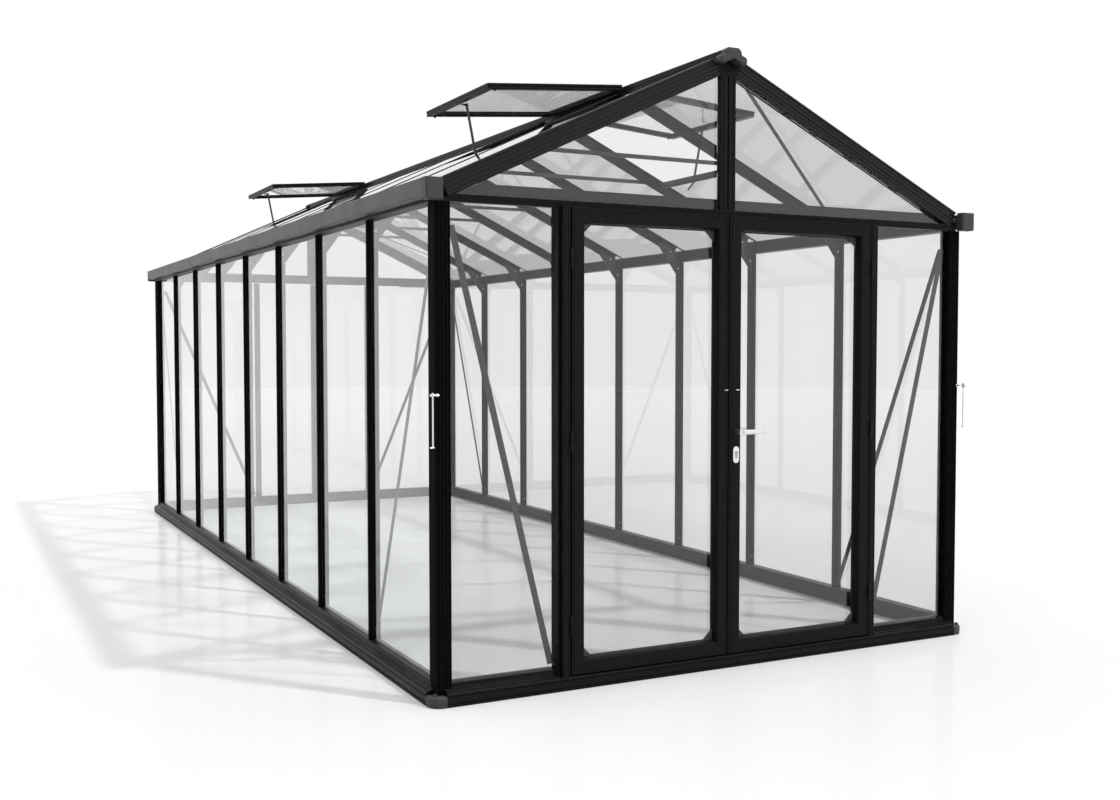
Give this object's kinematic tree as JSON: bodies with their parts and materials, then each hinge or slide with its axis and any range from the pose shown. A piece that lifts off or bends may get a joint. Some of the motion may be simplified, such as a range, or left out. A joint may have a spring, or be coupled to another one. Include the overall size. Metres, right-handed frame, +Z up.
{
  "type": "greenhouse",
  "caption": "Walk-in glass greenhouse with a dark metal frame, gabled roof, hinged double door, opening roof vents and rain gutters.",
  "frame": {"origin": "centre of the base frame's footprint on the ground", "axes": "+X to the right as seen from the door, +Y from the door gable to the rear gable, +Z up"},
  "size_m": [2.662, 6.207, 2.5351],
  "materials": {
    "dark_aluminium": "satin powder coat on extruded aluminium",
    "base_coat": "satin powder coat on extruded aluminium",
    "gutter_coat": "satin powder coat, dark grey",
    "moulding": "fine moulded texture",
    "glass": "clear toughened glass",
    "zinc": "bright zinc plate",
    "satin_metal": "satin",
    "buffer_rubber": "matt"
  },
  "bodies": {
    "frame": {"base_corner_feet": "moulding", "base_rails": "base_coat", "braces": "dark_aluminium", "collar_ties": "dark_aluminium", "corner_posts": "dark_aluminium", "door_hinge_brackets": "dark_aluminium", "door_jambs": "dark_aluminium", "eave_rails": "dark_aluminium", "frame_bolts": "zinc", "gable_glass_front": "glass", "gable_glass_rear": "glass", "gable_posts": "dark_aluminium", "gable_rafters": "dark_aluminium", "gable_tie_beams": "dark_aluminium", "gutter_end_caps": "moulding", "gutters": "gutter_coat", "haunch_gussets": "dark_aluminium", "hook_studs": "zinc", "ridge_beam": "dark_aluminium", "ridge_end_caps": "moulding", "roof_glass_left": "glass", "roof_glass_right": "glass", "roof_glazing_caps": "dark_aluminium", "roof_rafters_left": "dark_aluminium", "roof_rafters_right": "dark_aluminium", "vent_sills": "dark_aluminium", "wall_glass_left": "glass", "wall_glass_right": "glass", "wall_glazing_caps": "dark_aluminium", "wall_posts_left": "dark_aluminium", "wall_posts_right": "dark_aluminium"},
    "door_left": {"door_left_frame": "dark_aluminium", "door_left_glass": "glass", "door_left_corner_plates": "dark_aluminium", "door_left_hinges": "dark_aluminium", "door_left_hook_eye": "zinc"},
    "door_right": {"door_right_frame": "dark_aluminium", "door_right_glass": "glass", "door_right_corner_plates": "dark_aluminium", "door_right_hinges": "dark_aluminium", "door_right_hook_eye": "zinc", "lock_case": "zinc", "lock_escutcheons": "satin_metal", "key_cylinder": "satin_metal"},
    "lever": {"lever_handle": "satin_metal"},
    "latch": {"latch_bolt": "zinc"},
    "hook_right": {"door_hook_right": "zinc"},
    "hook_left": {"door_hook_left": "zinc"},
    "vent_left_front": {"vent_left_front_frame": "dark_aluminium", "vent_left_front_glass": "glass", "vent_left_front_buffers": "buffer_rubber"},
    "stay_left_front": {"vent_left_front_stay": "dark_aluminium"},
    "vent_left_rear": {"vent_left_rear_frame": "dark_aluminium", "vent_left_rear_glass": "glass", "vent_left_rear_buffers": "buffer_rubber"},
    "stay_left_rear": {"vent_left_rear_stay": "dark_aluminium"},
    "vent_right_front": {"vent_right_front_frame": "dark_aluminium", "vent_right_front_glass": "glass", "vent_right_front_buffers": "buffer_rubber"},
    "stay_right_front": {"vent_right_front_stay": "dark_aluminium"}
  },
  "joints": [
    {"name": "door_right_swing", "type": "hinge", "parent": "frame", "child": "door_right", "pos_m": [0.7375, -3.0795, 0.96], "axis": [0, 0, 1], "range_deg": [0, 165]},
    {"name": "door_left_swing", "type": "hinge", "parent": "frame", "child": "door_left", "pos_m": [-0.7375, -3.0795, 0.96], "axis": [0, 0, -1], "range_deg": [0, 165]},
    {"name": "lever_turn", "type": "hinge", "parent": "door_right", "child": "lever", "pos_m": [0.022, -3.0495, 0.975], "axis": [0, 1, 0], "range_deg": [0, 45], "stiffness_Nm_per_rad": 0.6, "springref_deg": -34.38},
    {"name": "latch_slide", "type": "slide", "parent": "door_right", "child": "latch", "axis": [1, 0, 0], "range_m": [0, 0.0081]},
    {"name": "hook_right_swing", "type": "hinge", "parent": "frame", "child": "hook_right", "pos_m": [1.298, -3.062, 1.147], "axis": [-1, 0, 0], "range_deg": [0, 60]},
    {"name": "hook_left_swing", "type": "hinge", "parent": "frame", "child": "hook_left", "pos_m": [-1.298, -3.062, 1.147], "axis": [-1, 0, 0], "range_deg": [0, 60]},
    {"name": "vent_right_front_swing", "type": "hinge", "parent": "frame", "child": "vent_right_front", "pos_m": [0.03, -1.875, 2.522], "axis": [0, -1, 0], "range_deg": [-20.2, 3]},
    {"name": "stay_right_front_hang", "type": "hinge", "parent": "vent_right_front", "child": "stay_right_front", "pos_m": [0.6583, -1.875, 2.4512], "axis": [0, -1, 0], "range_deg": [-3, 20.2]},
    {"name": "vent_left_front_swing", "type": "hinge", "parent": "frame", "child": "vent_left_front", "pos_m": [-0.03, -1.875, 2.522], "axis": [0, 1, 0], "range_deg": [-20.2, 3]},
    {"name": "stay_left_front_hang", "type": "hinge", "parent": "vent_left_front", "child": "stay_left_front", "pos_m": [-0.6583, -1.875, 2.4512], "axis": [0, 1, 0], "range_deg": [-3, 20.2]},
    {"name": "vent_left_rear_swing", "type": "hinge", "parent": "frame", "child": "vent_left_rear", "pos_m": [-0.03, 1.875, 2.522], "axis": [0, 1, 0], "range_deg": [-20.2, 3]},
    {"name": "stay_left_rear_hang", "type": "hinge", "parent": "vent_left_rear", "child": "stay_left_rear", "pos_m": [-0.6583, 1.875, 2.4512], "axis": [0, 1, 0], "range_deg": [-3, 20.2]}
  ],
  "couplings": [
    {"joint": "latch_slide", "follows": "lever_turn", "m_per_rad": 0.010186},
    {"joint": "stay_right_front_hang", "follows": "vent_right_front_swing", "ratio": -1},
    {"joint": "stay_left_front_hang", "follows": "vent_left_front_swing", "ratio": -1},
    {"joint": "stay_left_rear_hang", "follows": "vent_left_rear_swing", "ratio": -1}
  ]
}
